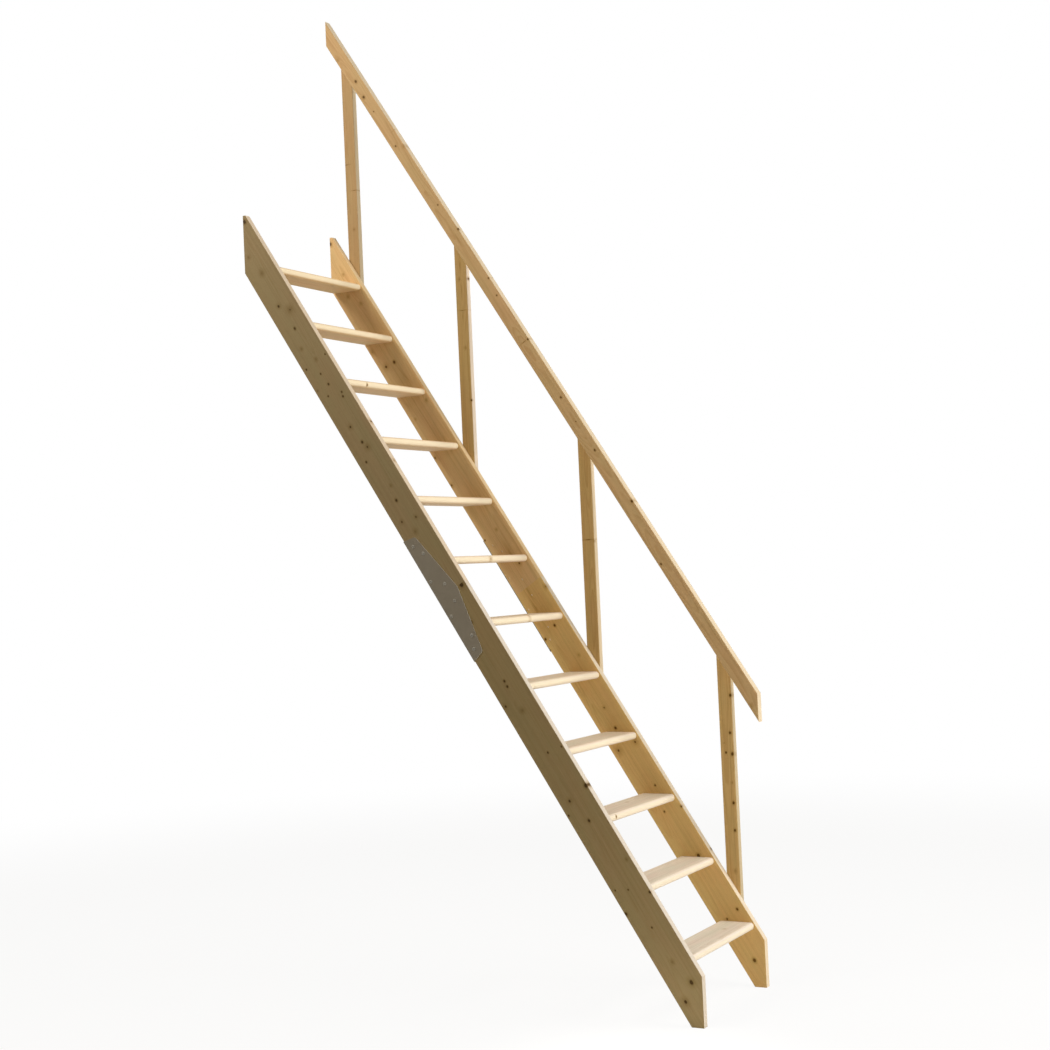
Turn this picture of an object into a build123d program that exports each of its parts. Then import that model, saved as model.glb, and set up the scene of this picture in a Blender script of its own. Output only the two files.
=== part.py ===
from build123d import *
import os
from math import atan2, cos, sin, tan

# A steep open stair to a loft, in planed spruce. Two strings carry twelve treads in shallow
# housings. Each string is in two lengths, butted end to end and tied by a bent steel plate.
# A flat handrail stands on four posts over the right string.
# Millimetres. X points to the climber's right, Y the way the climber goes, Z up.
# The origin is the middle of the left string's foot, on the floor.

# The flight
rise = 228.0
going = 144.0
first_rise = 231.0
tread_count = 12
overall_width = 600.0

# The strings
string_thick = 28.0
string_width = 130.4
foot_flat = 46.0
tip_flat = 12.5
head_gap = 15.0
string_ease = 3.0
cut_ease = 1.0

# The treads and their housings
tread_depth = 127.5
tread_thick = 27.0
nose_setback = 10.0
nose_radius = 12.5
tread_ease = 2.0
housing_depth = 8.0
housing_clearance = 0.2

# The joint plates, each a low gable on the outer face with a flange round the rear edge.
# The strings are joined this far down the slope from the third post.
joint_post_gap = 332.7
plate_thick = 2.5
plate_half_length = 260.0
plate_half_top = 246.0
plate_shoulder = 50.0
plate_peak = 95.0
plate_corner = 12.0
plate_peak_corner = 12.0
plate_bend = 2.0
plate_flange = 26.0

# The countersunk holes of a plate: distance from the joint, and height above the rear edge
screw_hole = 6.5
screw_head = 12.5
screw_spots = [(221.0, 24.0), (177.0, 45.0), (75.0, 12.5), (36.5, 57.0)]

# The handrail, its underside measured plumb above the strings' front edge
rail_thick = 36.0
rail_width = 55.0
rail_lift = 817.0
rail_foot_reach = 22.0
rail_head_short = 28.0
rail_ease = 4.0

# The posts, the first and last set in from the ends of the rail
post_width = 54.0
post_thick = 28.0
post_foot_inset = 115.0
post_head_inset = 44.0
post_spacing = [0.0, 0.342, 0.673, 1.0]
post_foot_gap = 14.0
post_head_gap = 6.0
post_ease = 5.0

# Worked out from the sizes above
slope = atan2(rise, going)
pitch = tan(slope)
foot_plumb = (string_width / sin(slope) - foot_flat) * pitch
clear_width = overall_width - 2 * string_thick
left_outer = -string_thick / 2
left_inner = string_thick / 2
right_outer = left_outer + overall_width
middle_plane = Plane.YZ.offset(left_outer + overall_width / 2)


def front_edge(run):
    # Height of a string's front edge, with the run counted from the front of its foot.
    return foot_plumb + run * pitch


def rear_edge(run):
    return (run - foot_flat) * pitch


def tread_middle(number):
    # Height of the middle of a tread's edge, counted from 0 at the bottom.
    return first_rise + number * rise - tread_thick / 2


def tread_nose(number):
    return (tread_middle(number) - foot_plumb) / pitch + nose_setback


head_run = tread_nose(tread_count - 1) + tread_depth + head_gap
rail_foot = -rail_foot_reach
rail_head = head_run - rail_head_short
first_post = rail_foot + post_foot_inset
last_post = rail_head - post_head_inset - post_width
post_fronts = [first_post + share * (last_post - first_post) for share in post_spacing]
joint_along = (post_fronts[2] - foot_flat) / cos(slope) - joint_post_gap


def seen_from_side(points):
    # A face in the side view, its points given as run and height.
    moved = [(run - foot_flat / 2, height) for run, height in points]
    return make_face(Polyline(*moved, close=True))


def side_view(x):
    return Plane(origin=(x, 0, 0), x_dir=(0, 1, 0), z_dir=(1, 0, 0))


def string_face(x):
    # Along the string from the rear of its foot, then across it towards the front edge.
    along = (0, cos(slope), sin(slope))
    return Plane(origin=(x, foot_flat / 2, 0), x_dir=along, z_dir=(1, 0, 0))


def ease_sloping_edges(board, radius):
    # Round the long edges that run up the slope.
    uphill = Vector(0, cos(slope), sin(slope))
    edges = [edge for edge in board.edges().filter_by(GeomType.LINE)
             if abs((edge @ 1 - edge @ 0).normalized().dot(uphill)) > 0.999]
    return fillet(edges, radius)


def ease_outline(board, radius):
    # Round both faces of a board all the way round, and leave its corners pointed.
    corners = board.edges().filter_by(Axis.X)
    return fillet([edge for edge in board.edges() if edge not in corners], radius)


def ease_cut_edges(board):
    # Take the arris off every edge round the plumb and level cuts at the ends.
    cuts = [face for face in board.faces().filter_by(GeomType.PLANE)
            if abs(face.normal_at().Y) > 0.999 or abs(face.normal_at().Z) > 0.999]
    edges = {edge for face in cuts for edge in face.edges()}
    return fillet(edges, cut_ease)


def nosed_section(grow=0.0):
    # A board on edge, its nose rounded at the front.
    section = Rectangle(tread_depth + 2 * grow, tread_thick + 2 * grow)
    return fillet(section.vertices().sort_by(Axis.X)[:2], nose_radius + grow)


def tread_place(number):
    # Middle of a tread's section in the side view.
    return Pos(tread_nose(number) + tread_depth / 2 - foot_flat / 2, tread_middle(number), 0)


def make_tread(number):
    section = nosed_section()
    section = fillet(section.vertices().sort_by(Axis.X)[-2:], tread_ease)
    board = extrude(section, clear_width + 2 * housing_depth)
    return side_view(left_inner - housing_depth) * tread_place(number) * board


def make_string():
    # The left string in one length. Its housings are square behind the treads' eased edges.
    tip = front_edge(head_run - tip_flat)
    points = [(0, 0), (foot_flat, 0), (head_run, rear_edge(head_run)), (head_run, tip),
              (head_run - tip_flat, tip), (0, foot_plumb)]
    board = side_view(left_outer) * extrude(seen_from_side(points), string_thick)
    board = ease_cut_edges(ease_sloping_edges(board, string_ease))
    housing = extrude(nosed_section(housing_clearance), housing_depth)
    for number in range(tread_count):
        board -= side_view(left_inner - housing_depth) * tread_place(number) * housing
    return board


def joint_cut():
    # The square cut between the lower and the upper length. X points out of the stair here.
    rear = (string_face(left_outer) * Pos(joint_along, 0, 0)).position
    return Plane(origin=rear, x_dir=(-1, 0, 0), z_dir=(0, cos(slope), sin(slope)))


def plate_section():
    # The bent sheet seen along the string: a leg on the outer face, a flange at the rear.
    points = [(-plate_flange, -plate_thick), (plate_thick, -plate_thick), (plate_thick, plate_peak),
              (0, plate_peak), (0, 0), (-plate_flange, 0)]
    section = make_face(Polyline(*points, close=True))
    outside = section.vertices().sort_by_distance((plate_thick, -plate_thick, 0))[0]
    section = fillet(outside, plate_bend + plate_thick)
    inside = section.vertices().sort_by_distance((0, 0, 0))[0]
    return fillet(inside, plate_bend)


def plate_gable():
    points = [(-plate_half_length, -plate_thick), (plate_half_length, -plate_thick),
              (plate_half_top, plate_shoulder), (0, plate_peak), (-plate_half_top, plate_shoulder)]
    gable = make_face(Polyline(*points, close=True))
    peak = gable.vertices().sort_by(Axis.Y)[-1]
    gable = fillet(peak, plate_peak_corner)
    shoulders = [gable.vertices().sort_by_distance((side * plate_half_top, plate_shoulder, 0))[0]
                 for side in (-1, 1)]
    return fillet(shoulders, plate_corner)


def countersunk_hole():
    cone = Cone(screw_head / 2, screw_hole / 2, (screw_head - screw_hole) / 2,
                align=(Align.CENTER, Align.CENTER, Align.MIN))
    return cone + Cylinder(screw_hole / 2, 4 * plate_thick)


def make_joint_plate():
    sheet = joint_cut() * extrude(plate_section(), plate_half_length, both=True)
    face = string_face(left_outer - plate_thick) * Pos(joint_along, 0, 0)
    sheet &= face * extrude(plate_gable(), 2 * plate_thick + plate_flange)
    for along, across in screw_spots:
        for side in (-1, 1):
            sheet -= face * Pos(side * along, across, 0) * countersunk_hole()
    return sheet


def make_handrail():
    low, high = rail_lift, rail_lift + rail_width / cos(slope)
    points = [(rail_foot, front_edge(rail_foot) + low), (rail_head, front_edge(rail_head) + low),
              (rail_head, front_edge(rail_head) + high), (rail_foot, front_edge(rail_foot) + high)]
    board = side_view(right_outer - rail_thick) * extrude(seen_from_side(points), rail_thick)
    return ease_outline(board, rail_ease)


def make_post(front):
    # Lapped on the outer faces of the string and the rail, cut to the slope at both ends.
    back = front + post_width
    lift = rail_lift + (rail_width - post_head_gap) / cos(slope)
    foot = post_foot_gap / cos(slope)
    points = [(front, rear_edge(front) + foot), (back, rear_edge(back) + foot),
              (back, front_edge(back) + lift), (front, front_edge(front) + lift)]
    board = side_view(right_outer) * extrude(seen_from_side(points), post_thick)
    return ease_outline(board, post_ease)


def make_parts():
    parts = {}
    left_string = make_string()
    left_plate = make_joint_plate()
    strings = {"left": left_string, "right": mirror(left_string, middle_plane)}
    plates = {"left": left_plate, "right": mirror(left_plate, middle_plane)}
    for side in ("left", "right"):
        parts[f"{side}_string_lower"] = split(strings[side], joint_cut(), Keep.BOTTOM)
        parts[f"{side}_string_upper"] = split(strings[side], joint_cut(), Keep.TOP)
        parts[f"{side}_joint_plate"] = plates[side]
    for number in range(tread_count):
        parts[f"tread_{number + 1:02d}"] = make_tread(number)
    parts["handrail"] = make_handrail()
    for number, front in enumerate(post_fronts):
        parts[f"post_{number + 1}"] = make_post(front)
    return parts


os.makedirs("parts", exist_ok=True)
for name, solid in make_parts().items():
    export_step(solid, f"parts/{name}.step")
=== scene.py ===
import bpy
import bmesh
from math import radians, atan2, cos, sin
from mathutils import Matrix, Vector


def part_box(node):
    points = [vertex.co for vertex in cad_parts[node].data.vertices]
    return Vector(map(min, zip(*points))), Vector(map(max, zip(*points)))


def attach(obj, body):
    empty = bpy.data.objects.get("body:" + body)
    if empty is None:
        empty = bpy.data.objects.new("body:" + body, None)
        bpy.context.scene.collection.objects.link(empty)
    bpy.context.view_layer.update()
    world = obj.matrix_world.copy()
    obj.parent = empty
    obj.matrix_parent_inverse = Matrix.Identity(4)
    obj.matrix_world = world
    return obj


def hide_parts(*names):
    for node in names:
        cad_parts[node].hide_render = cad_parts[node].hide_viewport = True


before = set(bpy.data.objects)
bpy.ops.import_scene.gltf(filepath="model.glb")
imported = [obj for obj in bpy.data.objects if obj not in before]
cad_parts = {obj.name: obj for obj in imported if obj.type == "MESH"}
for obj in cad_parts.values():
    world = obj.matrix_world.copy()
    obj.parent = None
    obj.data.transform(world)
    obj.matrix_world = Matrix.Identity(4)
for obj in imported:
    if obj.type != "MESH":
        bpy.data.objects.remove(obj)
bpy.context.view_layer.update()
print("frame loaded")

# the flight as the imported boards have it, in metres
flight = {
    "rise": 0.228,
    "going": 0.144,
    "footRear": 0.023,         # rear corner of the strings' level foot
    "treads": 12,
    "posts": 4,
}
slope = atan2(flight["rise"], flight["going"])
squareToSlope = (0, -sin(slope), cos(slope))       # out of the strings' front edges
upright = radians(90)
millimetres = 1000                                 # in a metre


# CAD meshes come as loose triangles: the modifiers merge them and smooth the shading of the eased edges
eases = {
    "mergeWithin": 0.00001,        # metres
    "sharpFrom": radians(35),      # an edge that turns by more than this stays sharp
    "flatWeight": 100,             # how far the flat faces outweigh the eased ones
}


def smoothingTree():
    tree = bpy.data.node_groups.new("smoothEases", "GeometryNodeTree")
    tree.interface.new_socket("Geometry", in_out="INPUT", socket_type="NodeSocketGeometry")
    tree.interface.new_socket("Geometry", in_out="OUTPUT", socket_type="NodeSocketGeometry")
    add, link = tree.nodes.new, tree.links.new
    start, end = add("NodeGroupInput"), add("NodeGroupOutput")
    merge = add("GeometryNodeMergeByDistance")
    merge.inputs["Distance"].default_value = eases["mergeWithin"]
    faces = add("GeometryNodeSetShadeSmooth")
    edges = add("GeometryNodeSetShadeSmooth")
    edges.domain = "EDGE"
    edges.inputs["Shade Smooth"].default_value = False
    angle = add("GeometryNodeInputMeshEdgeAngle")
    sharp = add("FunctionNodeCompare")
    sharp.data_type = "FLOAT"
    sharp.operation = "GREATER_THAN"
    sharp.inputs["B"].default_value = eases["sharpFrom"]
    link(merge.inputs["Geometry"], start.outputs[0])
    link(faces.inputs["Geometry"], merge.outputs[0])
    link(edges.inputs["Geometry"], faces.outputs[0])
    link(sharp.inputs["A"], angle.outputs["Unsigned Angle"])
    link(edges.inputs["Selection"], sharp.outputs[0])
    link(end.inputs[0], edges.outputs[0])
    return tree


smoothing = smoothingTree()
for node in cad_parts.values():
    node.modifiers.new("smooth eases", "NODES").node_group = smoothing
    weighted = node.modifiers.new("flat faces", "WEIGHTED_NORMAL")
    weighted.weight = eases["flatWeight"]
    weighted.keep_sharp = True
print("eased edges smoothed")


# planed spruce, with sizes in the board's own millimetres: along, across, through
spruce = {
    "earlyWood": (0.760, 0.580, 0.360, 1),
    "lateWood": (0.600, 0.400, 0.205, 1),
    # narrow faces, front and rear alike, are painted paler: partly their own edge grain, partly painted
    # light standing for the strong front light that these faces catch
    "narrowGrainAndLight": (0.870, 0.800, 0.680, 1),
    "narrowGrainAndLightShare": 0.8,
    "narrowTurn": (0.5, 0.95),      # cosines between which a face goes over from broad to narrow
    "resin": (0.24, 0.12, 0.045, 1),
    "resinShare": 0.35,
    "resinFrom": (0.72, 0.80),      # where in its noise a resin canal begins, and where it is full
    "ringSpacing": 2.7,
    "ringDepth": (0.15, 0.70),      # least and most that the late wood stands out
    "wander": (0, 60, 36),          # how far the pith strays from a straight line
    "ripple": 1.6,
    "bunching": 3.0,                # wide and narrow years, in rings
    "bunchYears": 7,
    "knotReach": 3.0,               # radii over which a knot colours the wood
    "knotKinds": {                  # stretch along, stretch across, and how many radii below the face
        "knots": (1.35, 1.05, 0.0),
        "faintKnots": (1.8, 1.5, 1.05),
        "spikes": (0.8, 7.0, 0.7),
        "stains": (9.0, 1.0, 1.2),
    },
    "knotThrough": 60,              # half the length of a knot that goes through its board
    "knotShallow": 2,               # the same of one that stays near a face, in radii
    "knotFree": 9,                  # radii to the nearest knot on a board without any
    "knotPush": 1.5,                # rings by which a knot turns the grain
    "knotFray": 0.5,                # radii over which a knot's rim strays
    "seedSteps": (17.3, 5.9, 11.1),     # how far one step of a board's seed shifts its patterns
    "roughness": 0.66,
    "ringRougher": -0.07,           # late wood and knots are smoother
    "knotRougher": -0.12,
    "specular": 0.12,
    "bump": 0.22,
    "bumpDepth": 0.0004,            # metres
    "ringHigher": 0.35,             # late wood and knots stand out, as shares of the fibres' height
    "knotHigher": 0.5,
    "grain": {                      # each pattern's size, its detail and its roughness
        "stray": ((520, 900, 900), 1, 0.5),
        "ripple": ((75, 15, 15), 2, 0.5),
        "depth": ((340, 16, 16), 2, 0.5),
        "streaks": ((820, 9, 9), 4, 0.6),
        "hue": ((190, 48, 48), 2, 0.5),
        "fibres": ((34, 0.6, 0.6), 1, 0.5),
        "resin": ((8, 0.5, 0.5), 0, 0.5),
        "fray": ((5, 4, 4), 2, 0.5),
    },
    "ramps": {                      # the stops of each pattern's colours
        "year": [(0.0, (0, 0, 0, 1)), (0.35, (0.05, 0.05, 0.05, 1)), (0.82, (1, 1, 1, 1)),
                 (0.93, (1, 1, 1, 1)), (1.0, (0, 0, 0, 1))],
        "streaks": [(0.30, (0.90, 0.885, 0.86, 1)), (0.5, (1, 1, 1, 1)), (0.70, (1.05, 1.05, 1.06, 1))],
        "hue": [(0.32, (0.975, 1.0, 0.955, 1)), (0.68, (1.02, 0.975, 0.95, 1))],
        "fibres": [(0.3, (0.955, 0.95, 0.94, 1)), (0.7, (1.03, 1.03, 1.03, 1))],
        "knot": [(0.00, (0.150, 0.078, 0.012, 1)), (0.16, (0.165, 0.086, 0.014, 1)),
                 (0.26, (0.090, 0.044, 0.006, 1)), (0.35, (0.180, 0.098, 0.018, 0.92)),
                 (0.46, (0.350, 0.210, 0.055, 0.55)), (0.72, (0.470, 0.300, 0.105, 0.26)),
                 (1.0, (0.540, 0.350, 0.150, 0.0))],
    },
}


noiseMiddle = 0.5
noiseSpan = (0.3, 0.7)         # holds nearly all that a noise texture gives


def noise(tree, place, seed, size, detail, rough):
    stretch = tree.nodes.new("ShaderNodeVectorMath")
    stretch.operation = "MULTIPLY_ADD"
    stretch.inputs[1].default_value = [1 / s for s in size]
    tree.links.new(stretch.inputs[0], place)
    tree.links.new(stretch.inputs[2], seed)
    texture = tree.nodes.new("ShaderNodeTexNoise")
    texture.inputs["Scale"].default_value = 1
    texture.inputs["Detail"].default_value = detail
    texture.inputs["Roughness"].default_value = rough
    tree.links.new(texture.inputs["Vector"], stretch.outputs[0])
    return texture


def calc(tree, operation, a, b=None, c=None):
    node = tree.nodes.new("ShaderNodeMath")
    node.operation = operation
    for socket, value in zip(node.inputs, (a, b, c)):
        if isinstance(value, (int, float)):
            socket.default_value = value
        elif value is not None:
            tree.links.new(socket, value)
    return node.outputs[0]


def vector(tree, operation, a, b=None):
    node = tree.nodes.new("ShaderNodeVectorMath")
    node.operation = operation
    for socket, value in zip(node.inputs, (a, b)):
        if isinstance(value, (tuple, list)):
            socket.default_value = value
        elif value is not None:
            tree.links.new(socket, value)
    return node


def spread(tree, value, start, end, kind="SMOOTHSTEP"):
    node = tree.nodes.new("ShaderNodeMapRange")
    node.interpolation_type = kind
    tree.links.new(node.inputs["Value"], value)
    for name, number in zip(("From Min", "From Max", "To Min", "To Max"), (*start, *end)):
        node.inputs[name].default_value = number
    return node.outputs["Result"]


def mixed(tree, fac, a, b, blend="MIX"):
    node = tree.nodes.new("ShaderNodeMix")
    node.data_type = "RGBA"
    node.blend_type = blend
    for socket, value in zip((node.inputs[0], node.inputs[6], node.inputs[7]), (fac, a, b)):
        if isinstance(value, (tuple, list, int, float)):
            socket.default_value = value
        else:
            tree.links.new(socket, value)
    return node.outputs[2]


def ramp(tree, fac, stops):
    node = tree.nodes.new("ShaderNodeValToRGB")
    marks = node.color_ramp.elements
    while len(marks) < len(stops):
        marks.new(0.5)
    for mark, (place, color) in zip(marks, stops):
        mark.position = place
        mark.color = color
    tree.links.new(node.inputs["Fac"], fac)
    return node


def spruceGroup():
    tree = bpy.data.node_groups.new("spruce", "ShaderNodeTree")
    face = tree.interface
    for name in ("Place", "Pith"):
        face.new_socket(name, in_out="INPUT", socket_type="NodeSocketVector")
    for name in ("Knot", "Seed", "Narrow", "Contrast"):
        face.new_socket(name, in_out="INPUT", socket_type="NodeSocketFloat")
    for name in ("Tint", "Edge"):
        face.new_socket(name, in_out="INPUT", socket_type="NodeSocketColor")
    face.new_socket("Color", in_out="OUTPUT", socket_type="NodeSocketColor")
    for name in ("Roughness", "Height"):
        face.new_socket(name, in_out="OUTPUT", socket_type="NodeSocketFloat")
    start, end = tree.nodes.new("NodeGroupInput"), tree.nodes.new("NodeGroupOutput")
    place, knot, narrow = start.outputs["Place"], start.outputs["Knot"], start.outputs["Narrow"]
    shift = tree.nodes.new("ShaderNodeCombineXYZ")
    for socket, step in zip(shift.inputs, spruce["seedSteps"]):
        tree.links.new(socket, calc(tree, "MULTIPLY", start.outputs["Seed"], step))

    def grain(name, output="Fac"):
        return noise(tree, place, shift.outputs[0], *spruce["grain"][name]).outputs[output]

    def colored(name, value):
        return ramp(tree, value, spruce["ramps"][name]).outputs

    # year rings: distance from a pith that wanders a little on its way along the board
    stray = vector(tree, "SUBTRACT", grain("stray", "Color"), (noiseMiddle,) * 3)
    stray = vector(tree, "MULTIPLY", stray.outputs[0], spruce["wander"])
    flat = vector(tree, "MULTIPLY", place, (0, 1, 1))
    flat = vector(tree, "SUBTRACT", flat.outputs[0], start.outputs["Pith"])
    flat = vector(tree, "ADD", flat.outputs[0], stray.outputs[0])
    radius = vector(tree, "LENGTH", flat.outputs[0]).outputs["Value"]
    ripple = calc(tree, "SUBTRACT", grain("ripple"), noiseMiddle)
    radius = calc(tree, "MULTIPLY_ADD", ripple, spruce["ripple"], radius)
    years = calc(tree, "DIVIDE", radius, spruce["ringSpacing"])
    bunch = tree.nodes.new("ShaderNodeTexNoise")
    bunch.noise_dimensions = "1D"
    bunch.inputs["Scale"].default_value = 1 / spruce["bunchYears"]
    tree.links.new(bunch.inputs["W"], calc(tree, "ADD", years, start.outputs["Seed"]))
    bunching = calc(tree, "SUBTRACT", bunch.outputs["Fac"], noiseMiddle)
    years = calc(tree, "MULTIPLY_ADD", bunching, spruce["bunching"], years)
    push = spread(tree, knot, (0, spruce["knotReach"]), (spruce["knotPush"], 0))
    years = calc(tree, "FRACT", calc(tree, "ADD", years, push))
    ring = colored("year", years)["Color"]
    depth = spread(tree, grain("depth"), noiseSpan, spruce["ringDepth"])
    depth = calc(tree, "MULTIPLY", depth, start.outputs["Contrast"])
    color = mixed(tree, calc(tree, "MULTIPLY", ring, depth), spruce["earlyWood"], spruce["lateWood"])

    # long streaks, slow changes of hue, fibres and resin canals
    fibre = grain("fibres")
    for name, value in (("streaks", grain("streaks")), ("hue", grain("hue")), ("fibres", fibre)):
        color = mixed(tree, 1.0, color, colored(name, value)["Color"], "MULTIPLY")
    canals = spread(tree, grain("resin"), spruce["resinFrom"], (0, spruce["resinShare"]))
    color = mixed(tree, canals, color, spruce["resin"])
    # narrow faces mixed toward a pale colour: partly edge grain, partly painted light
    color = mixed(tree, calc(tree, "MULTIPLY", narrow, spruce["narrowGrainAndLightShare"]), color, spruce["narrowGrainAndLight"])

    # knots: brown heart, dark rim and a warm halo that dies away
    frayed = calc(tree, "SUBTRACT", grain("fray"), noiseMiddle)
    frayed = calc(tree, "MULTIPLY_ADD", frayed, spruce["knotFray"], knot)
    knotWood = colored("knot", calc(tree, "DIVIDE", frayed, spruce["knotReach"]))
    color = mixed(tree, knotWood["Alpha"], color, knotWood["Color"])
    tint = mixed(tree, narrow, start.outputs["Tint"], start.outputs["Edge"])
    color = mixed(tree, 1.0, color, tint, "MULTIPLY")

    dull = calc(tree, "MULTIPLY_ADD", ring, spruce["ringRougher"], spruce["roughness"])
    dull = calc(tree, "MULTIPLY_ADD", knotWood["Alpha"], spruce["knotRougher"], dull)
    height = calc(tree, "MULTIPLY_ADD", ring, spruce["ringHigher"], fibre)
    height = calc(tree, "MULTIPLY_ADD", knotWood["Alpha"], spruce["knotHigher"], height)
    for name, value in (("Color", color), ("Roughness", dull), ("Height", height)):
        tree.links.new(end.inputs[name], value)
    return tree


spruceTree = spruceGroup()


# a board's own frame: along it, across it and through it, all in millimetres
def boardFrame(origin, angle):
    c, s = cos(angle), sin(angle)
    turn = Matrix(((0, c, s), (0, -s, c), (1, 0, 0)))
    return turn, -(turn @ Vector(origin)) * millimetres


def plankFrame(origin):
    return Matrix.Identity(3), -Vector(origin) * millimetres


def nearestKnot(tree, place, board):
    # measured in that knot's own radii; a knot without a fourth number goes through the board
    nearest = None
    for kind, (longer, wider, below) in spruce["knotKinds"].items():
        for along, across, size, *through in board.get(kind, []):
            deep = size * spruce["knotShallow"] if through else spruce["knotThrough"]
            spot = tree.nodes.new("ShaderNodeMapping")
            spot.vector_type = "TEXTURE"
            spot.inputs["Location"].default_value = (along, across, through[0] if through else 0)
            spot.inputs["Scale"].default_value = (size * longer, size * wider, deep)
            tree.links.new(spot.inputs["Vector"], place)
            distance = vector(tree, "LENGTH", spot.outputs[0]).outputs["Value"]
            distance = calc(tree, "ADD", distance, below)
            nearest = calc(tree, "MINIMUM", nearest, distance) if nearest else distance
    return nearest


def boardWood(name, place, board):
    turn, shift = place
    material = bpy.data.materials.new(name)
    material.use_nodes = True
    tree = material.node_tree
    shader = tree.nodes["Principled BSDF"]
    coords = tree.nodes.new("ShaderNodeTexCoord")
    lay = tree.nodes.new("ShaderNodeMapping")
    lay.inputs["Location"].default_value = shift
    lay.inputs["Rotation"].default_value = turn.to_euler()
    lay.inputs["Scale"].default_value = (millimetres,) * 3
    tree.links.new(lay.inputs["Vector"], coords.outputs["Object"])
    wood = tree.nodes.new("ShaderNodeGroup")
    wood.node_tree = spruceTree
    wood.inputs["Pith"].default_value = (0, *board["pith"])
    wood.inputs["Seed"].default_value = board["seed"]
    wood.inputs["Contrast"].default_value = board.get("contrast", 1.0)
    wood.inputs["Tint"].default_value = (*board["tint"], 1)
    wood.inputs["Edge"].default_value = (*board["edge"], 1)
    wood.inputs["Knot"].default_value = spruce["knotFree"]
    tree.links.new(wood.inputs["Place"], lay.outputs[0])
    knot = nearestKnot(tree, lay.outputs[0], board)
    if knot:
        tree.links.new(wood.inputs["Knot"], knot)
    turned = vector(tree, "DOT_PRODUCT", coords.outputs["Normal"], list(turn[1])).outputs["Value"]
    narrow = spread(tree, calc(tree, "ABSOLUTE", turned), spruce["narrowTurn"], (0, 1))
    tree.links.new(wood.inputs["Narrow"], narrow)
    bump = tree.nodes.new("ShaderNodeBump")
    bump.inputs["Strength"].default_value = spruce["bump"]
    bump.inputs["Distance"].default_value = spruce["bumpDepth"]
    tree.links.new(bump.inputs["Height"], wood.outputs["Height"])
    tree.links.new(shader.inputs["Base Color"], wood.outputs["Color"])
    tree.links.new(shader.inputs["Roughness"], wood.outputs["Roughness"])
    tree.links.new(shader.inputs["Normal"], bump.outputs[0])
    shader.inputs["Specular IOR Level"].default_value = spruce["specular"]
    return material


def dress(node, material):
    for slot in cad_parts[node].material_slots:
        slot.material = material


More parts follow.
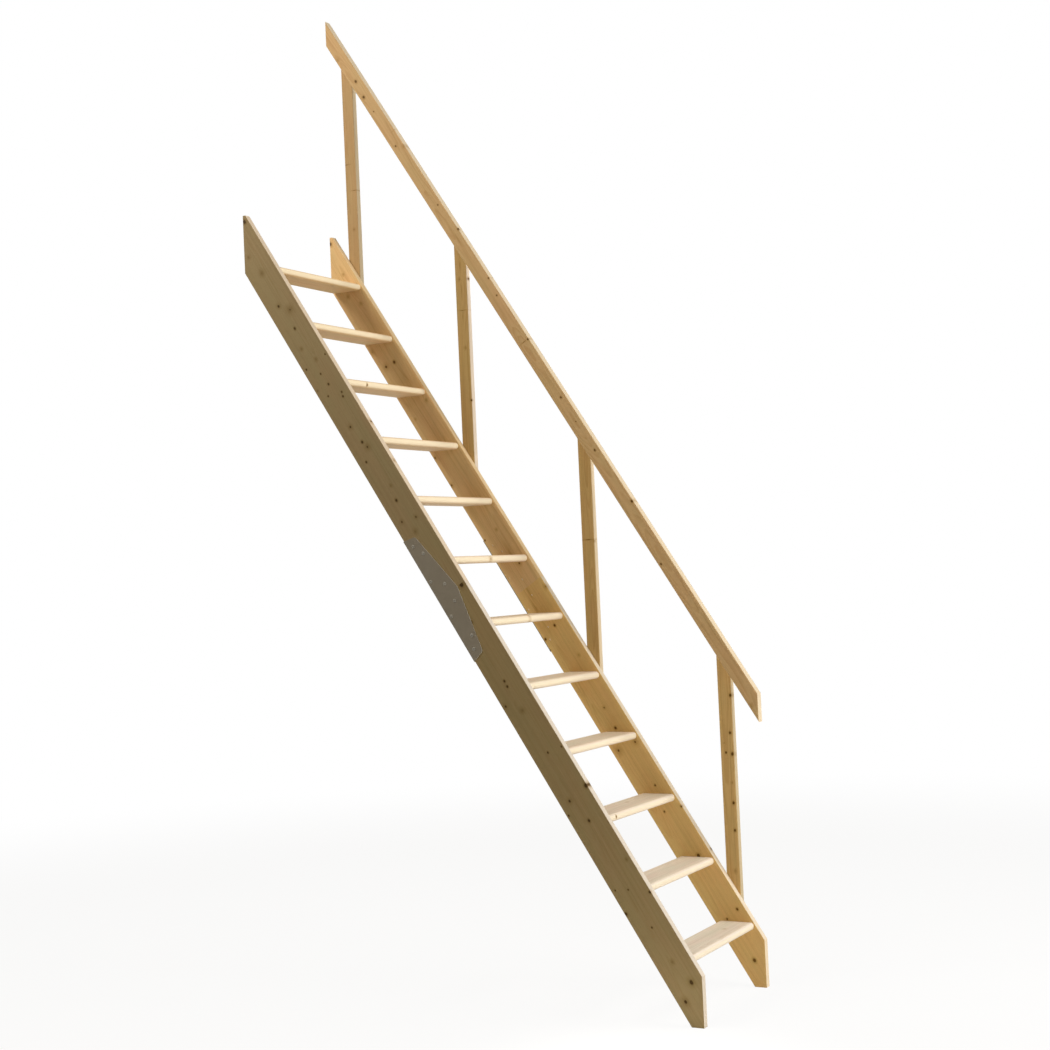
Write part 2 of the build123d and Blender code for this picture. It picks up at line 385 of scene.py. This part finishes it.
# the strings: pith is the heart of the tree (across, through), contrast that of its years, tint is for the
# broad faces and edge for the narrow ones. Knots are (along from the foot's rear corner, across from the
# rear edge, radius), and some with the depth that they stay near, from -14 on the left face to 14 on the
# right one. A faint knot round a small one gives it its halo.
strings = {
    "left_string_lower": {
        "seed": 1.0, "pith": (52, 46), "contrast": 0.5, "tint": (0.375, 0.370, 0.300),
        "edge": (0.79, 0.80, 0.85),
        "knots": [(1700, 112, 6), (1567, 69, 3.5), (1323, 62, 3), (1301, 61, 3), (1247, 15, 2.5),
                  (1027, 65, 2.5), (1016, 122, 1.8, -14), (857, 126, 5), (846, 41, 3), (807, 9, 2.2, -14),
                  (753, 67, 3.5), (509, 16, 1.8), (487, 60, 1.8), (441, 126, 3, -14), (424, 6, 3.5, -14),
                  (340, 64, 2.2), (122, 86, 5), (79, 30, 3.8)],
        "faintKnots": [(1700, 112, 9), (1247, 15, 5), (1200, 64, 6), (846, 41, 6), (574, 113, 4),
                       (210, 64, 5), (122, 86, 8), (79, 30, 8)],
    },
    "left_string_upper": {
        "seed": 2.3, "pith": (80, -60), "contrast": 0.6, "tint": (0.380, 0.382, 0.335),
        "edge": (0.80, 0.75, 0.71),
        "knots": [(3385, 113, 5, -14), (3018, 53, 3.4), (2974, 88, 2.2), (2902, 64, 3.5), (2742, 17, 2.5),
                  (2737, 118, 1.8, -14), (2689, 60, 2.3), (2636, 66, 3), (2600, 39, 2.3), (2576, 97, 2.5),
                  (2559, 92, 2.8), (2446, 53, 2.8), (2415, 130, 2.2, 2), (2369, 63, 3.6), (2341, 71, 2.4),
                  (2298, 35, 2.8), (2106, 61, 3.6), (2028, 35, 2.4), (2008, 95, 2.2)],
        "faintKnots": [(3261, 50, 5), (3171, 64, 8), (3018, 53, 6), (2974, 88, 10), (2820, 44, 5),
                       (2747, 74, 5), (2645, 12, 3, -14), (2446, 53, 6), (2415, 130, 6, 2), (2341, 71, 8),
                       (2237, 130, 5, 0), (2164, 72, 4), (2028, 35, 5), (2008, 95, 5), (1966, 62, 6.5)],
    },
    "right_string_lower": {
        "seed": 3.1, "pith": (30, -70), "contrast": 0.6, "tint": (1.05, 0.95, 0.65),
        "edge": (0.87, 0.84, 0.80),
        "knots": [(1517, 72, 3.4), (1495, 8, 3.3, -14), (1449, 1, 2, -14), (1146, 69, 1.8), (1058, 65, 3.5),
                  (982, 27, 3), (972, 104, 2.6), (797, 81, 2.4), (698, 57, 2.6), (679, 127, 2.7, -14),
                  (497, 82, 4.5), (493, 129, 3.5, 12), (262, 102, 3.3), (252, 47, 2.4), (79, 54, 4.5)],
        "faintKnots": [(1661, 126, 6, -14), (1367, 94, 4), (1146, 69, 4), (982, 27, 9), (972, 104, 8)],
        "stains": [(1685, 53, 5), (1623, 42, 4)],
    },
    "right_string_upper": {
        "seed": 4.7, "pith": (95, 60), "contrast": 0.65, "tint": (1.02, 0.93, 0.78),
        "edge": (0.90, 0.76, 0.55),
        "knots": [(3386, 107, 5, -14), (2802, 33, 3.4), (2794, 75, 4), (2362, 8, 2.2, -14),
                  (2227, 8, 2.3, -14), (1961, 7, 2.2, -14), (1800, 82, 2.4)],
        "faintKnots": [(3242, 87, 5), (3152, 51, 5), (3090, 85, 5), (2892, 14, 6.5), (2802, 33, 8),
                       (2576, 108, 5), (2544, 23, 3.5), (2362, 8, 5, -14), (2227, 8, 6, -14),
                       (1966, 74, 4), (1800, 82, 6)],
        "stains": [(1842, 72, 6)],
    },
}
for node, board in strings.items():
    low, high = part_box(node)
    middle = ((low.x + high.x) / 2, flight["footRear"], 0)
    dress(node, boardWood(node.replace("_", " ") + " spruce", boardFrame(middle, slope), board))
print("strings dressed")

# the treads: knots as (to the right from the middle of the left string, back from the nose, radius), and
# some with the height over the board's middle that they stay near
treads = {
    "seed": 20.0,
    "seedStep": 3.7,
    # painted light: tint and edge change evenly with height, so the low treads are painted paler and cooler
    # and the high treads' noses brighter, standing in for how the light falls along the flight
    "lowPaintedLightTint": (1.14, 1.36, 1.95),      # of the lowest tread; the others change evenly to the highest
    "highPaintedLightTint": (1.01, 0.94, 0.83),
    "lowPaintedLightEdge": (0.97, 0.97, 0.95),
    "highPaintedLightEdge": (1.10, 1.06, 0.94),
    "contrast": 0.55,
    "piths": [(70, 55), (20, -48), (110, 62), (64, -70), (35, 50)],
    "knots": {3: [(68, 0, 2.5, 3)], 10: [(150, 0, 2.5, -3)]},
    "faintKnots": {1: [(430, 60, 5)], 3: [(330, 84, 5)], 6: [(302, 6, 5)], 7: [(280, 0, 6, 0)],
                   8: [(120, 70, 5)], 12: [(390, 20, 4)]},
}
for number in range(1, flight["treads"] + 1):
    node = f"tread_{number:02d}"
    low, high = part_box(node)
    share = (number - 1) / (flight["treads"] - 1)
    board = {
        "seed": treads["seed"] + number * treads["seedStep"],
        "pith": treads["piths"][number % len(treads["piths"])],
        "tint": Vector(treads["lowPaintedLightTint"]).lerp(Vector(treads["highPaintedLightTint"]), share),
        "edge": Vector(treads["lowPaintedLightEdge"]).lerp(Vector(treads["highPaintedLightEdge"]), share),
        "contrast": treads["contrast"],
        "knots": treads["knots"].get(number, []),
        "faintKnots": treads["faintKnots"].get(number, []),
    }
    corner = (0, low.y, (low.z + high.z) / 2)
    dress(node, boardWood(f"tread {number} spruce", plankFrame(corner), board))
print("treads dressed")

# the handrail: along as on the strings, across from its underside, depth from its middle
handrail = {
    "seed": 61.0, "pith": (26, 60), "tint": (0.76, 0.69, 0.58), "edge": (0.79, 0.74, 0.65),
    "acrossStrings": 566.7,
    "knots": [(3844, 27, 4), (3765, 19, 4), (3684, 22, 1.8), (3498, 21, 2.5), (3174, 37, 2.1),
              (3035, 54, 3, -16), (2788, 50, 2.2), (2709, 40, 2.2), (2483, 50, 2.5), (2212, 35, 2.8),
              (2098, 33, 1.7), (1961, 35, 2.6), (1713, 49, 3.5), (1453, 12, 2.5)],
    "faintKnots": [(3977, 10, 5), (3472, 50, 5), (834, 11, 5)],
    "spikes": [(3557, 55, 2, -14), (2485, 30, 2.5)],
    "stains": [(3007, 30, 4)],
}
low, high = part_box("handrail")
lift = handrail["acrossStrings"] / millimetres
railCorner = ((low.x + high.x) / 2, flight["footRear"] - lift * sin(slope), lift * cos(slope))
dress("handrail", boardWood("handrail spruce", boardFrame(railCorner, slope), handrail))

# the posts: knots as (height above the floor, forward from the back edge, radius), depth from the middle
posts = {
    "post_1": {
        "seed": 71.0, "pith": (20, 44), "tint": (0.82, 0.74, 0.52), "edge": (0.62, 0.57, 0.45),
        "knots": [(1048, 49, 3.5), (911, 41, 3), (839, 22, 3), (834, 46, 4), (656, 42, 3.5), (556, 42, 3)],
        "faintKnots": [(874, 18, 3), (730, 40, 3), (408, 36, 5)],
    },
    "post_2": {
        "seed": 74.0, "pith": (35, -40), "tint": (0.72, 0.64, 0.44), "edge": (0.81, 0.75, 0.63),
        "faintKnots": [(1637, 53, 3, -10)],
        "spikes": [(1643, 28, 3)],
    },
    "post_3": {
        "seed": 77.0, "pith": (50, 40), "tint": (0.67, 0.60, 0.41), "edge": (0.91, 0.88, 0.88),
        "knots": [(2705, 53, 3, 0), (2220, 51, 2.5, -14)],
        "faintKnots": [(2705, 20, 4), (2430, 34, 4)],
        "spikes": [(2580, 30, 2)],
        "stains": [(2760, 26, 3.5), (2660, 28, 3.5), (2560, 30, 3)],
    },
    "post_4": {
        "seed": 80.0, "pith": (15, -44), "tint": (0.66, 0.58, 0.48), "edge": (0.67, 0.62, 0.51),
        "faintKnots": [(2972, 33, 4)],
        "spikes": [(3133, 44, 2), (3243, 10, 2)],
    },
}

# each post stands in its packed post's place, with its head a little lower, out of sight behind the rail
postBoard = {
    "headDrop": 0.008,          # metres, square to the rail
    "ease": 0.005,
    "easeSteps": 4,
}


def addPost(node, wood):
    low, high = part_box(node)
    middle = (low + high) / 2
    bpy.ops.object.select_all(action="DESELECT")
    bpy.ops.mesh.primitive_cube_add(size=1, location=middle)
    post = bpy.context.object
    post.name = node + "_board"
    bpy.ops.object.transform_apply(location=True)
    bpy.ops.object.mode_set(mode="EDIT")
    bpy.ops.transform.resize(value=high - low, center_override=middle)
    head = high - Vector((0, 0, postBoard["headDrop"] / cos(slope)))
    for corner, above in ((low, False), (head, True)):
        bpy.ops.mesh.select_all(action="SELECT")
        bpy.ops.mesh.bisect(plane_co=corner, plane_no=squareToSlope, use_fill=True, clear_inner=not above,
                            clear_outer=above)
    mesh = bmesh.from_edit_mesh(post.data)
    for edge in mesh.edges:
        start, end = edge.verts
        edge.select = abs(start.co.x - end.co.x) < (high.x - low.x) / 2     # all but those through the post
    bpy.ops.mesh.bevel(offset=postBoard["ease"], segments=postBoard["easeSteps"], affect="EDGES")
    bpy.ops.object.mode_set(mode="OBJECT")
    bpy.ops.object.shade_smooth_by_angle(angle=eases["sharpFrom"])
    post.modifiers.new("flat faces", "WEIGHTED_NORMAL").keep_sharp = True
    bpy.ops.object.modifier_apply(modifier="flat faces")
    post.data.materials.append(wood)
    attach(post, "root")
    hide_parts(node)


for node, board in posts.items():
    low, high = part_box(node)
    back = ((low.x + high.x) / 2, high.y, 0)
    addPost(node, boardWood(node.replace("_", " ") + " spruce", boardFrame(back, upright), board))
print("rail and posts dressed")

# zinc-coated steel: dull sheet for the joint plates, brighter screws
zinc = {
    "sheet": {"light": (0.216, 0.188, 0.145, 1), "dark": (0.197, 0.171, 0.131, 1), "metallic": 0.15,
              "roughness": 0.58, "specular": 0.25},
    "screws": {"light": (0.26, 0.24, 0.20, 1), "dark": (0.22, 0.20, 0.165, 1), "metallic": 0.3,
               "roughness": 0.45, "specular": 0.3},
    "spangle": 60.0,            # patches per metre
    "spangleSpan": (0.1, 0.9),
    "spangleShare": 0.6,
    "cloud": 14.0,              # patches per metre
    "cloudShare": 0.6,
    "cloudDetail": 4,
    "cloudRougher": 0.08,
    # pale sheared edges: bare metal, and a painted highlight on those that face the lamps
    "cutEdgeAndHighlight": (0.72, 0.69, 0.62, 1),
    "sidewaysTurn": (0.2, 0.5),     # cosines between which a face comes to count as one to the side
    "rearTurn": (-0.5, -0.2),       # and those between which it no longer counts as one to the rear
}


def zincSteel(name, look):
    material = bpy.data.materials.new(name)
    material.use_nodes = True
    tree = material.node_tree
    shader = tree.nodes["Principled BSDF"]
    coords = tree.nodes.new("ShaderNodeTexCoord")
    cells = tree.nodes.new("ShaderNodeTexVoronoi")
    cells.inputs["Scale"].default_value = zinc["spangle"]
    tree.links.new(cells.inputs["Vector"], coords.outputs["Object"])
    cloud = tree.nodes.new("ShaderNodeTexNoise")
    cloud.inputs["Scale"].default_value = zinc["cloud"]
    cloud.inputs["Detail"].default_value = zinc["cloudDetail"]
    tree.links.new(cloud.inputs["Vector"], coords.outputs["Object"])
    patch = spread(tree, cells.outputs["Color"], zinc["spangleSpan"], (0, zinc["spangleShare"]), "LINEAR")
    patch = calc(tree, "MULTIPLY_ADD", cloud.outputs["Fac"], zinc["cloudShare"], patch)
    color = mixed(tree, patch, look["dark"], look["light"])

    # the sheared edges that face neither sideways nor to the strings' rear are painted pale: bare metal, and
    # a painted highlight where they catch the lamps; the rear-facing ones keep the sheet's colour as painted
    # shade
    turned = vector(tree, "DOT_PRODUCT", coords.outputs["Normal"], (1, 0, 0)).outputs["Value"]
    notSideways = spread(tree, calc(tree, "ABSOLUTE", turned), zinc["sidewaysTurn"], (1, 0))
    turned = vector(tree, "DOT_PRODUCT", coords.outputs["Normal"], squareToSlope).outputs["Value"]
    notRear = spread(tree, turned, zinc["rearTurn"], (0, 1))
    color = mixed(tree, calc(tree, "MULTIPLY", notSideways, notRear), color, zinc["cutEdgeAndHighlight"])
    tree.links.new(shader.inputs["Base Color"], color)
    rough = (look["roughness"] - zinc["cloudRougher"], look["roughness"] + zinc["cloudRougher"])
    tree.links.new(shader.inputs["Roughness"], spread(tree, cloud.outputs["Fac"], noiseSpan, rough))
    shader.inputs["Metallic"].default_value = look["metallic"]
    shader.inputs["Specular IOR Level"].default_value = look["specular"]
    return material


plateSteel = zincSteel("zinc sheet", zinc["sheet"])
dress("left_joint_plate", plateSteel)
dress("right_joint_plate", plateSteel)
print("plates dressed")

# screws, in metres: a profile is (radius, height over the face that the screw goes into), from the head down
screws = {
    "sides": 24,                         # of a screw's rim
    "sharpFrom": radians(32),
    "raised": [(0.0038, 0.0021), (0.0055, 0.0017), (0.0067, 0.0008), (0.0071, 0.0), (0.0056, -0.0004),
               (0.0031, -0.0031), (0.0029, -0.0040), (0.0029, -0.0240), (0.0025, -0.0260),
               (0.0001, -0.0328)],
    "pan": [(0.0020, 0.0023), (0.0038, 0.0018), (0.0048, 0.0009), (0.0050, 0.0), (0.0024, 0.0),
            (0.0024, -0.0430), (0.0001, -0.0500)],
    "recess": (0.0070, 0.0017),          # length and width of the cross at its mouth
    "recessTaper": 0.55,                 # size of its floor over that of its mouth
    "raisedDeep": 0.0026,                # depth of the cross
    "panDeep": 0.0014,
    "joint": 1.7045,                     # where the strings are joined, along from the foot's rear corner
    "plateSpots": [(0.221, 0.024), (0.177, 0.045), (0.075, 0.0125), (0.0365, 0.057)],
    "turnStep": 37.0,                    # degrees from one screw's cross to the next
    "footSpots": [0.040, 0.095],         # up a post's middle, across the string from its rear edge
    "railMiddle": 0.5942,                # across from the strings' rear edge to the middle of the rail
    "railSpots": [-0.012, 0.012],        # along the rail from a post's middle
}


def onSlope(x, along, across):
    return Vector((x, flight["footRear"] + along * cos(slope) - across * sin(slope),
                   along * sin(slope) + across * cos(slope)))


def addScrew(name, profile, deep):
    bpy.ops.object.select_all(action="DESELECT")
    radius, height = profile[0]
    bpy.ops.mesh.primitive_circle_add(vertices=screws["sides"], radius=radius, fill_type="NGON",
                                      location=(0, 0, height))
    screw = bpy.context.object
    screw.name = name
    bpy.ops.object.transform_apply(location=True)
    bpy.ops.object.mode_set(mode="EDIT")
    bpy.ops.mesh.select_all(action="SELECT")
    for (wide, high), (nextWide, low) in zip(profile, profile[1:]):
        bpy.ops.mesh.extrude_region_move(TRANSFORM_OT_translate={"value": (0, 0, low - high)})
        bpy.ops.transform.resize(value=(nextWide / wide, nextWide / wide, 1), center_override=(0, 0, low))
    bpy.ops.mesh.select_all(action="SELECT")
    bpy.ops.mesh.normals_make_consistent(inside=False)
    bpy.ops.object.mode_set(mode="OBJECT")
    for turn in (0, upright):
        cutRecess(screw, top=height, deep=deep, turn=turn)
    bpy.ops.object.shade_smooth_by_angle(angle=screws["sharpFrom"])
    return screw


def cutRecess(screw, top, deep, turn):
    bpy.ops.object.select_all(action="DESELECT")
    bpy.ops.mesh.primitive_cube_add(size=1, location=(0, 0, top))
    blade = bpy.context.object
    bpy.ops.object.transform_apply(location=True)
    bpy.ops.object.mode_set(mode="EDIT")
    bpy.ops.transform.resize(value=(*screws["recess"], 2 * deep), center_override=(0, 0, top))
    mesh = bmesh.from_edit_mesh(blade.data)
    for vert in mesh.verts:
        vert.select = vert.co.z < top
    mesh.select_flush(True)
    taper = screws["recessTaper"]
    bpy.ops.transform.resize(value=(taper, taper, 1), center_override=(0, 0, top))
    bpy.ops.mesh.select_all(action="SELECT")
    bpy.ops.transform.rotate(value=turn, orient_axis="Z", center_override=(0, 0, top))
    bpy.ops.object.mode_set(mode="OBJECT")
    cut = screw.modifiers.new("recess", "BOOLEAN")
    cut.operation = "DIFFERENCE"
    cut.object = blade
    bpy.context.view_layer.objects.active = screw
    bpy.ops.object.modifier_apply(modifier="recess")
    bpy.data.objects.remove(blade)
    screw.select_set(True)


def setCopies(name, pattern, turns, material):
    # one copy of the pattern under each matrix, all joined in one piece
    copies = []
    for turn in turns:
        bpy.ops.object.select_all(action="DESELECT")
        pattern.select_set(True)
        bpy.context.view_layer.objects.active = pattern
        bpy.ops.object.duplicate()
        bpy.context.object.matrix_world = turn
        copies.append(bpy.context.object)
    for copy in copies:
        copy.select_set(True)
    bpy.ops.object.join()
    piece = bpy.context.object
    bpy.ops.object.transform_apply(location=True, rotation=True, scale=True)
    piece.name = name
    piece.data.materials.append(material)
    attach(piece, "root")


def screwTurns(places, outward):
    face = Matrix.Rotation(outward * upright, 4, "Y")
    return [Matrix.Translation(place) @ face @ Matrix.Rotation(radians(count * screws["turnStep"]), 4, "Z")
            for count, place in enumerate(places)]


def plateSpots(x):
    return [onSlope(x, screws["joint"] + way * along, across)
            for along, across in screws["plateSpots"] for way in (-1, 1)]


def postSpots(number):
    # on the post's middle, where it crosses lines that run up the strings and the rail
    low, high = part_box(f"post_{number}")
    run = (low.y + high.y) / 2 - flight["footRear"]
    lines = [(across, 0) for across in screws["footSpots"]]
    lines += [(screws["railMiddle"], step) for step in screws["railSpots"]]
    return [onSlope(high.x, (run + across * sin(slope)) / cos(slope) + step, across)
            for across, step in lines]


screwSteel = zincSteel("zinc screws", zinc["screws"])
plateScrew = addScrew("plate screw", screws["raised"], screws["raisedDeep"])
panScrew = addScrew("pan screw", screws["pan"], screws["panDeep"])
plateFaces = {
    "left": (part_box("left_joint_plate")[0].x, -1),
    "right": (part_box("right_joint_plate")[1].x, 1),
}
for side, (x, outward) in plateFaces.items():
    turns = screwTurns(plateSpots(x), outward)
    setCopies(f"{side}_plate_screws", plateScrew, turns, screwSteel)
for number in range(1, flight["posts"] + 1):
    turns = screwTurns(postSpots(number), 1)
    setCopies(f"post_{number}_screws", panScrew, turns, screwSteel)
for pattern in (plateScrew, panScrew):
    bpy.data.objects.remove(pattern)
print("screws driven")

# where a plate's screws come out of a string's inner face, each tip lifts a few fibres of the wood
fibres = {
    "sides": 12,
    "inner": 0.0011,                     # radius of a tuft's ragged rim, in metres
    "outer": 2.6,                        # times the inner radius
    "sunk": 0.0004,                      # how deep the outer edge lies in the wood
    "alongGrain": 1.9,                   # times as long as wide
    "thick": 0.0003,
    "lift": [0.0021, 0.0004, 0.0013, 0.0006, 0.0018, 0.0003, 0.0009],
    "wood": {"seed": 90.0, "pith": (40, 60), "tint": (1.10, 1.18, 1.30), "edge": (1, 1, 1), "contrast": 0.4},
}


def addTornWood():
    bpy.ops.object.select_all(action="DESELECT")
    bpy.ops.mesh.primitive_circle_add(vertices=fibres["sides"], radius=fibres["inner"], fill_type="NOTHING")
    tuft = bpy.context.object
    bpy.ops.object.mode_set(mode="EDIT")
    bpy.ops.mesh.select_all(action="SELECT")
    bpy.ops.mesh.extrude_region_move(TRANSFORM_OT_translate={"value": (0, 0, -fibres["sunk"])})
    bpy.ops.transform.resize(value=(fibres["outer"], fibres["outer"], 1), center_override=(0, 0, 0))
    mesh = bmesh.from_edit_mesh(tuft.data)
    rim = [vert for vert in mesh.verts if vert.co.z == 0]
    for count, vert in enumerate(rim):
        vert.co.z = fibres["lift"][count % len(fibres["lift"])]
    bpy.ops.mesh.select_all(action="SELECT")
    bpy.ops.transform.resize(value=(fibres["alongGrain"], 1, 1), center_override=(0, 0, 0))
    bpy.ops.mesh.normals_make_consistent(inside=False)
    bpy.ops.object.mode_set(mode="OBJECT")
    tuft.modifiers.new("thick", "SOLIDIFY").thickness = fibres["thick"]
    bpy.ops.object.modifier_apply(modifier="thick")
    return tuft


def fibreTurns(x, outward):
    # a tuft's long side lies up the slope, it faces out of the string, and every second one is turned about
    face = Matrix.Rotation(slope, 4, "X") @ Matrix.Rotation(outward * upright, 4, "Y")
    return [Matrix.Translation(place) @ face @ Matrix.Rotation(upright * (1 + 2 * (count % 2)), 4, "Z")
            for count, place in enumerate(plateSpots(x))]


tornWood = boardWood("torn fibres", boardFrame((0, 0, 0), slope), fibres["wood"])
tuft = addTornWood()
innerFaces = {
    "left": (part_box("left_string_lower")[1].x, 1),
    "right": (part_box("right_string_lower")[0].x, -1),
}
for side, (x, outward) in innerFaces.items():
    setCopies(f"{side}_torn_fibres", tuft, fibreTurns(x, outward), tornWood)
bpy.data.objects.remove(tuft)
print("torn fibres round the tips")

# the camera stands to the left of the foot, at about the height of the seventh tread
view = {
    "place": (-5.2403, -2.3218, 1.5381),
    "turn": (91.51, 2.612, -61.01),        # degrees
    "lens": 58.654,                        # millimetres, and so is the width of the sensor
    "sensor": 36.0,
    "reach": 60.0,                         # metres
}


def addCamera():
    bpy.ops.object.camera_add(location=view["place"], rotation=[radians(a) for a in view["turn"]])
    camera = bpy.context.object
    camera.data.lens = view["lens"]
    camera.data.sensor_width = view["sensor"]
    camera.data.clip_end = view["reach"]
    bpy.context.scene.camera = camera


# plain soft studio: a white sweep, soft lamps in front, above and to the left of the head of the stair, and
# a small one that lights only the floor beside the left string's foot
studio = {
    "floorSize": 60.0,
    "floorColor": (0.80, 0.79, 0.77, 1.0),
    "floorRoughness": 0.9,
    "shadowReach": (3.0, 6.5),         # metres from the stair over which the floor fades to white
    "shadowShare": 0.10,               # of the floor's own shading, left to see beside the stair
    "skyLight": (1.0, 0.89, 0.68, 1.0),     # falls on the stair, while the camera sees white
    "skyStrength": 0.26,
    "target": (0.3, 0.8, 1.4),         # where a lamp points, unless it has its own target
    "spread": 180,                     # degrees
    "lamps": {                         # metres and watts
        "front": {"place": (1.0, -3.4, 1.7), "size": 2.4, "power": 92, "color": (1.0, 0.98, 0.95)},
        "top": {"place": (0.6, -2.6, 5.0), "size": 2.4, "power": 110, "color": (1.0, 0.97, 0.93)},
        "side": {"place": (-1.8, 2.9, 4.6), "size": 1.4, "power": 80, "color": (1.0, 0.93, 0.82)},
        "floor": {"place": (-0.55, -0.05, 0.5), "size": 0.6, "power": 3.0, "color": (1.0, 0.97, 0.90),
                  "target": (-0.55, -0.05, 0), "spread": 100},
    },
}


def addLamp(name, look):
    target = Vector(look.get("target", studio["target"]))
    aim = (target - Vector(look["place"])).to_track_quat("-Z", "Y").to_euler()
    bpy.ops.object.light_add(type="AREA", location=look["place"], rotation=aim)
    lamp = bpy.context.object
    lamp.name = name
    lamp.data.shape = "SQUARE"
    lamp.data.size = look["size"]
    lamp.data.spread = radians(look.get("spread", studio["spread"]))
    lamp.data.energy = look["power"]
    lamp.data.color = look["color"]
    lamp.visible_camera = False


# the rays that see the studio as white: the camera's own, and those that gloss or glass sends on
def seenRays(tree):
    path = tree.nodes.new("ShaderNodeLightPath")
    seen = calc(tree, "MAXIMUM", path.outputs["Is Camera Ray"], path.outputs["Is Glossy Ray"])
    return calc(tree, "MAXIMUM", seen, path.outputs["Is Transmission Ray"])


def addSky():
    world = bpy.data.worlds.new("studio")
    bpy.context.scene.world = world
    world.use_nodes = True
    tree = world.node_tree
    sky = tree.nodes["Background"]
    sky.inputs["Color"].default_value = studio["skyLight"]
    sky.inputs["Strength"].default_value = studio["skyStrength"]
    white = tree.nodes.new("ShaderNodeBackground")
    white.inputs["Color"].default_value = (1, 1, 1, 1)
    mix = tree.nodes.new("ShaderNodeMixShader")
    tree.links.new(mix.inputs["Fac"], seenRays(tree))
    tree.links.new(mix.inputs[1], sky.outputs[0])
    tree.links.new(mix.inputs[2], white.outputs[0])
    tree.links.new(tree.nodes["World Output"].inputs["Surface"], mix.outputs[0])


def addFloor():
    bpy.ops.mesh.primitive_plane_add(size=studio["floorSize"])
    floor = bpy.context.object
    floor.name = "floor"
    material = bpy.data.materials.new("white sweep")
    material.use_nodes = True
    tree = material.node_tree
    shader = tree.nodes["Principled BSDF"]
    shader.inputs["Base Color"].default_value = studio["floorColor"]
    shader.inputs["Roughness"].default_value = studio["floorRoughness"]
    coords = tree.nodes.new("ShaderNodeTexCoord")
    away = vector(tree, "DISTANCE", coords.outputs["Object"], (*studio["target"][:2], 0))
    white = spread(tree, away.outputs["Value"], studio["shadowReach"], (1 - studio["shadowShare"], 1))
    white = calc(tree, "MULTIPLY", white, seenRays(tree))
    glow = tree.nodes.new("ShaderNodeEmission")
    mix = tree.nodes.new("ShaderNodeMixShader")
    tree.links.new(mix.inputs["Fac"], white)
    tree.links.new(mix.inputs[1], shader.outputs[0])
    tree.links.new(mix.inputs[2], glow.outputs[0])
    tree.links.new(tree.nodes["Material Output"].inputs["Surface"], mix.outputs[0])
    floor.data.materials.append(material)


addCamera()
addSky()
for name, look in studio["lamps"].items():
    addLamp(name, look)
addFloor()
bpy.context.scene.view_settings.view_transform = "Standard"
print("studio set")
